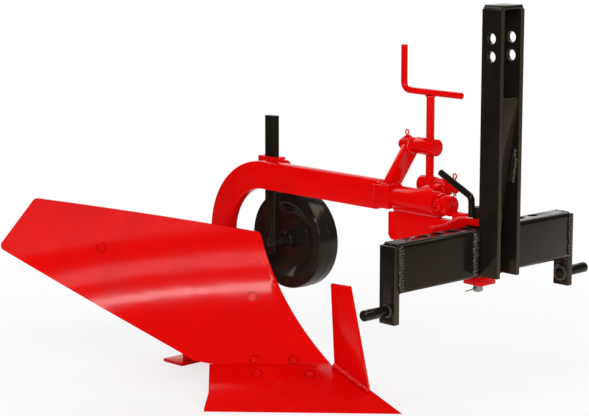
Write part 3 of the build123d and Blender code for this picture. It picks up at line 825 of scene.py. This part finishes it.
boltShape = {
    "board": [(0, 0.6), (1.4, 0.65), (1.8, 1.3), (3.6, 1.3), (4.2, 0.6), (9.3, 0.6), (9.9, 0.3),
              (10.0, -1.5), (0, -1.5)],
    "boardSeat": [(9.9, -1.0), (9.9, 0.40), (10.3, 0.46), (11.2, 0.42), (11.4, -1.0)],
    "share": [(0, 1.5), (2.2, 1.4), (3.6, 0.9), (4.3, 0.25), (7.6, 0.15), (9.4, 0.7),
              (10.3, 0.75), (10.9, 0.1), (11, -1.5), (0, -1.5)],
    "shareSeat": [(10.9, -1.0), (10.9, 0.34), (11.3, 0.4), (12.1, 0.36), (12.3, -1.0)],
    "places": [
        ("board", -930, -270, 312), ("board", -680, -33, 202), ("board", -603, -97, 80),
        ("board", -541, -36, 80), ("share", -571, -119, 58), ("share", -487, -37, 58)],
    "sides": 40, "nut": (19, 9), "reach": 7.0,
    "stud": [(0, 0), (6, 0), (6, 15), (5.2, 16), (0, 16)], "studSides": 20,
}


def makeBolts():
    shape = boltShape
    for number, (kind, x, y, z) in enumerate(shape["places"]):
        surface = board if kind == "board" else shareFace
        point, normal = onSurface(surface, x, y, z)
        head = place(lathe(shape[kind], shape["sides"]), point, normal)
        settle(head, f"ploughBolt{number}", "plough", "board", 24)
        # painted shade: a dark ring laid over the board stands for the shaded gap round the head
        seat = place(lathe(shape[kind + "Seat"], shape["sides"], True), point, normal)
        settle(seat, f"ploughBoltGapShade{number}", "plough", "gap", 24)
        back = point - normal * shape["reach"] / 1000
        nut = place(hexHead(*shape["nut"]), back, -normal)
        stud = place(lathe(shape["stud"], shape["studSides"]), back, -normal)
        bakePlace(nut)
        bakePlace(stud)
        settle(joinPieces([nut, stud]), f"ploughNut{number}", "plough", "red", 25)


paintFlaws = {
    "ridgeWidth": 2.0, "ridgeFacing": (0.6, -0.7, 0.3),
    "ridges": [
        [(-724, -27, 298), (-715, -20, 289), (-703, -9, 284), (-695, -1, 280), (-687, 4, 273),
         (-680, 8, 264), (-674, 9, 256), (-671, 9, 249)],
        [(-658, 13, 230), (-650, 13, 219), (-642, 15, 211), (-638, 16, 206)]],
    "nib": [(0, 0.5), (0.6, 0.42), (1, 0), (1, -0.4), (0, -0.4)], "nibSides": 12,
    "nibs": [  # place and width
        (-708, -169, 99, 2.6), (-776, -122, 215, 2.2), (-748, -140, 232, 1.6),
        (-774, -122, 195, 1.6), (-775, -122, 205, 1.4)],
}


def makePaintFlaws():
    flaws = paintFlaws
    for number, ridge in enumerate(flaws["ridges"]):
        path = [(onSurface(board, *p)[0] - home) * 1000 for p in ridge]
        weld(f"paintRidge{number}", path, flaws["ridgeWidth"], "plough", "redWeld",
             flaws["ridgeFacing"])
    for number, (x, y, z, wide) in enumerate(flaws["nibs"]):
        point, normal = onSurface(board, x, y, z)
        nib = place(lathe(flaws["nib"], flaws["nibSides"]), point, normal)
        nib.scale = (wide, wide, 1)
        settle(nib, f"paintNib{number}", "plough", "board", 60)


makeBolts()
makePaintFlaws()
print("board ready")


# weld beads
# a straight bead: name, sides, width, start, end and the way it faces, in millimetres;
# a bead with two sides has its mirror image across the beam's plane
mastBeads = [
    ("plateFrontWeld", 2, 14, (-1.5, -259.5, 359), (-1.5, -259.5, 443), (1, -0.3, 0)),
    ("plateBackWeld", 2, 9, (-47, -261, 357), (-47, -261, 444), (-1, -1, 0)),
    ("plateTopWeld", 2, 8, (-42, -261, 447.5), (-8, -261, 447.5), (0, -0.6, 1)),
    ("plateUnderWeld", 2, 7, (-42, -258.5, 348.5), (-8, -258.5, 348.5), (0, 1, -1)),
    ("mastOuterWeld", 2, 19, (1, -43.5, 360), (1, -43.5, 444), (1, -0.35, 0)),
    ("mastInnerWeld", 2, 8, (2, -23, 362), (2, -23, 436), (1, 1, 0)),
    ("mastFootWeld", 2, 8, (2, -34, 353.5), (2, -26, 353.5), (1, 0, -1)),
    ("panelFootWeld", 2, 7, (6, -23.6, 442), (9.5, -23.6, 484), (1, 1, 0)),
    ("panelSideWeld", 2, 12, (29, -24.6, 548), (41, -24.6, 612), (0.2, 1, 0)),
    ("panelSideWash", 2, 12, (35, -24.6, 546), (43, -24.6, 594), (0.2, 1, 0)),
    ("panelTopWeld", 1, 5.5, (45.5, -22, 716.5), (45.5, 22, 716.5), (0.2, 0, 1)),
    ("capSideWeld", 2, 9, (4, -32.4, 897.2), (46, -32.4, 897.2), (0, -1, 1)),
    ("capFrontWeld", 2, 6, (47.6, -27, 896), (47.6, -22, 896), (1, 0, 0)),
]
lifterBeads = [("handleWeld", 1, 8, (-37, -8, 468), (-37, -8, 487), (-0.4, -1, 0))]
headBeads = [
    ("backPlateWeld", 2, 8, (-57, -118, 457), (-57, -66, 457), (0, 0, 1)),
    ("backPlateLump", 2, 12, (-57, -62, 459), (-57, -28, 466), (0, -0.3, 1)),
    ("tubeWeld", 2, 9, (-261, -9, 455.8), (-141, -9, 455.8), (0, -1, -0.3)),
    ("tubeEndWeld", 1, 11, (-138, -7, 457), (-138, 7, 457), (1, 0, 0.4)),
    ("webWeld", 2, 9, (-66, -10, 362), (-66, -10, 453), (-1, -1, 0)),
    ("gussetFootWeld", 1, 7, (-198, 7, 505.8), (-172, 7, 505.8), (0, -0.4, 1)),
    ("gussetHeadWeld", 1, 7, (-198, 45.5, 515.5), (-172, 45.5, 515.5), (0, -1, 0.6)),
    ("gussetFrontWeld", 1, 7, (-169, 8, 505), (-169, 18, 498), (1, 0, 1)),
    ("bushFrontWeld", 1, 7, (-169, 43, 513), (-169, 45, 500), (1, -1, 0)),
]
armBeads = [
    ("blockWeld", 2, 12, (-313, -15, 457), (-313, -15, 503), (-0.6, -1, 0)),
    ("blockTopWeld", 1, 8, (-307.5, -12, 507), (-307.5, 12, 507), (1, 0, 1)),
    ("armFrontWeld", 1, 8, (-271, -20, 506), (-271, 20, 506), (1, 0, 1)),
    ("armBackWeld", 1, 8, (-289, -20, 506), (-289, 20, 506), (-1, 0, 1)),
    ("armSideWeld", 1, 8, (-287, -21, 507), (-273, -21, 507), (0, -1, 0.6)),
]
bushBeads = [("bushSideWeld", 1, 9, (-288, 45, 596), (-272, 45, 596), (0, -1, 0.8))]
coulterBeads = [("coulterWeld", 1, 13, (-357, 15.5, 36), (-464, 15.5, 74), (0, -1, 1))]
bottomBeads = [
    ("heelWeld", 1, 7, (-965, 12, 9), (-904, 12, 9), (0, -1, 1)),
    ("legWeld", 1, 8, (-842, 13.5, 79), (-783, 13.5, 79), (0, 1, 1)),
    ("legFrontWeld", 2, 8, (-779.5, -1, 95), (-779.5, -1, 285), (1, -1, 0)),
    ("stayWeld", 1, 7, (-800.5, -14, 245), (-800.5, -14, 279), (1, -1, 0)),
    ("stayBackWeld", 1, 7, (-811.5, -14, 245), (-811.5, -14, 279), (-1, -1, 0)),
    ("padWeld", 1, 7, (-655, 14, 455), (-655, 14, 497), (1, 1, 0)),
    ("padSleeveWeld", 1, 6, (-662.5, 31, 455), (-662.5, 31, 497), (1, -1, 0)),
]
bushRings = [  # name, centre, axis, radius, width, steps, and the turns where it starts and ends
    ("bushWeld", (-271.5, 60, 585), (1, 0, 0), 17.5, 7, 14, -128, 50),
    ("bushBackWeld", (-288.5, 60, 585), (-1, 0, 0), 17.5, 7, 14, -50, 128),
]
crankRing = {"centre": (-223, 60, 693), "axis": (0, 0, -1), "radius": 9.0, "width": 6, "steps": 16}
# y, radius and width of the rings on a plate's inner and outer face
pinRings = {"x": -25, "z": 316, "inner": (259, 14.5, 10), "base": (276, 12.0, 6.5)}


def layBeads(rows, body, finish):
    for name, sides, width, start, end, out in rows:
        if sides == 1:
            weld(name, [start, end], width, body, finish, out)
            continue
        for side, turn in (("Right", 1), ("Left", -1)):
            first, last, facing = ((x, y * turn, z) for x, y, z in (start, end, out))
            weld(name + side, [first, last], width, body, finish, facing)


def ringWeld(name, centre, axis, radius, width, body, finish, steps=24, start=0.0, end=360.0):
    middle = spot(*centre)
    lean = Vector(axis).normalized()
    path = circlePath(centre, axis, radius, steps, start, end)
    weld(name, path, width, body, finish, lambda p: (p - middle).normalized() + lean,
         end - start == 360)


def makePinRings():  # round the lower link pins, on both faces of their plates
    x, z = pinRings["x"], pinRings["z"]
    for side, label in ((-1, "Right"), (1, "Left")):
        y, radius, width = pinRings["inner"]
        ringWeld("pinInnerWeld" + label, (x, side * y, z), (0, -side, 0), radius, width,
                 "hitch", "blackWeld")
        y, radius, width = pinRings["base"]
        ringWeld("pinBaseWeld" + label, (x, side * y, z), (0, side, 0), radius, width,
                 "hitch", "blackWeld")


layBeads(mastBeads, "hitch", "blackWeld")
makePinRings()
layBeads(lifterBeads, "hitch", "iron")
layBeads(headBeads, "hitch", "redWeld")
layBeads(armBeads, "plough", "redWeld")
for name, centre, axis, radius, width, steps, start, end in bushRings:
    ringWeld(name, centre, axis, radius, width, "plough", "redWeld", steps, start, end)
layBeads(bushBeads, "plough", "redWeld")
ringWeld("crankWeld", crankRing["centre"], crankRing["axis"], crankRing["radius"],
         crankRing["width"], "crank", "redWeld", crankRing["steps"])
layBeads(coulterBeads, "plough", "redWeld")
layBeads(bottomBeads, "plough", "redWeld")
print("welds ready")


# floor, light and world
studio = {
    "floorSize": 60.0, "floorRough": 0.9, "paper": (0.93, 0.93, 0.93), "beyond": (0.30, 0.30, 0.30),
    "paperEdge": (4.5, 8.0), "glow": (0.70, 1.0), "glowEdge": (0.7, 2.0),
    "shade": (0.3, 1.3), "shadeMost": 0.85, "shadeWay": (-0.707, -0.707, 0),
    "fill": 0.50, "dim": 0.04, "behind": (0.55, 0.85), "aim": (-0.45, 0, 0.3),
    "lights": [  # elevation, turn from the camera, lean, distance, long, tall, radiance
        (37, -4, 10, 3.4, 2.4, 0.30, 18.0),
        (17.5, 0, 4, 3.6, 2.6, 0.60, 3.0),
        (52, 105, 0, 3.2, 2.2, 1.0, 3.0),
        (40, 215, 0, 3.2, 2.0, 1.4, 2.5),
    ],
}


def ramp(tree, value, span, first=0.0, last=1.0):  # eases from first to last over a span
    return mapRange(tree, value, {"interpolation_type": "SMOOTHSTEP"},
                    fromMin=span[0], fromMax=span[1], toMin=first, toMax=last)


def towards(tree, where, way):  # how far a place lies along a fixed direction
    node = addNode(tree, "ShaderNodeVectorMath", {"operation": "DOT_PRODUCT"}, i0=where, i1=way)
    return node.outputs["Value"]


def mixShaders(tree, share, first, second):
    node = addNode(tree, "ShaderNodeMixShader")
    for number, source in enumerate((share, first, second)):
        tree.links.new(source, node.inputs[number])
    return node.outputs[0]


def seenDirectly(tree):  # 1 for rays that look straight or through glass at the background
    path = addNode(tree, "ShaderNodeLightPath").outputs
    return mathNode(tree, "MAXIMUM", path["Is Camera Ray"], path["Is Transmission Ray"]), path


def makeFloor():
    bpy.ops.object.select_all(action="DESELECT")
    bpy.ops.mesh.primitive_plane_add(size=studio["floorSize"], location=(0, 0, 0))
    floor = bpy.context.object
    floor.name = "studioFloor"
    material, tree, shader = newMaterial("studioFloor")
    shader.inputs["Roughness"].default_value = studio["floorRough"]
    shader.inputs["Specular IOR Level"].default_value = 0.0
    where = addNode(tree, "ShaderNodeTexCoord").outputs["Object"]
    length = addNode(tree, "ShaderNodeVectorMath", {"operation": "LENGTH"}, i0=where)
    away = length.outputs["Value"]
    outside = ramp(tree, away, studio["paperEdge"])
    paper = mixColours(tree, studio["paper"], studio["beyond"], outside)
    tree.links.new(paper, shader.inputs["Base Color"])
    shown, path = seenDirectly(tree)
    glow = addNode(tree, "ShaderNodeEmission", Color=(1, 1, 1, 1), Strength=1.0).outputs[0]
    share = mathNode(tree, "MULTIPLY", shown, ramp(tree, away, studio["glowEdge"], *studio["glow"]))
    lit = mixShaders(tree, share, shader.outputs[0], glow)
    # painted shade: gloss sees the floor turn black towards the furrow side, which darkens
    # reflections there
    paintedGlossShade = ramp(tree, towards(tree, where, studio["shadeWay"]), studio["shade"],
                   0, studio["shadeMost"])
    dark = mathNode(tree, "MULTIPLY", paintedGlossShade, path["Is Glossy Ray"])
    black = addNode(tree, "ShaderNodeEmission", Strength=0.0).outputs[0]
    tree.links.new(mixShaders(tree, dark, lit, black),
                   tree.nodes["Material Output"].inputs["Surface"])
    floor.data.materials.append(material)


def makeWorld():  # white where it is seen, white in gloss low behind the object, else dim in gloss
    world = bpy.data.worlds.new("studioWorld")
    bpy.context.scene.world = world
    world.use_nodes = True
    tree = world.node_tree
    background = tree.nodes["Background"]
    background.inputs["Color"].default_value = (1, 1, 1, 1)
    shown, path = seenDirectly(tree)
    toward = addNode(tree, "ShaderNodeTexCoord").outputs["Generated"]
    turn = radians(viewCamera["turn"])
    ahead = towards(tree, toward, (-sin(turn), cos(turn), 0))
    gloss = ramp(tree, ahead, studio["behind"], studio["dim"], 1.0)
    plain = mathNode(tree, "SUBTRACT", 1.0, path["Is Glossy Ray"])
    light = mathNode(tree, "ADD", mathNode(tree, "MULTIPLY", gloss, path["Is Glossy Ray"]),
                     mathNode(tree, "MULTIPLY", plain, studio["fill"]))
    tree.links.new(mathNode(tree, "MAXIMUM", light, shown), background.inputs["Strength"])


def makeLights():
    aim = home + Vector(studio["aim"])
    for number, (elevation, turn, lean, away, long, tall, radiance) in enumerate(studio["lights"]):
        azimuth, rise = radians(viewCamera["turn"] + turn - 90), radians(elevation)
        toward = Vector((cos(azimuth) * cos(rise), sin(azimuth) * cos(rise), sin(rise)))
        data = bpy.data.lights.new(f"softbox{number}", "AREA")
        data.shape = "RECTANGLE"
        data.size, data.size_y = long, tall
        data.energy = radiance * pi * long * tall
        lamp = bpy.data.objects.new(f"softbox{number}", data)
        facing = toward.to_track_quat("Z", "Y").to_matrix().to_4x4()
        lamp.matrix_world = (Matrix.Translation(aim + toward * away) @ facing
                             @ Matrix.Rotation(radians(lean), 4, "Z"))
        bpy.context.collection.objects.link(lamp)


makeFloor()
makeWorld()
makeLights()
bpy.context.scene.view_settings.view_transform = "Standard"
print("studio ready")

bpy.data.objects.remove(dropShape)
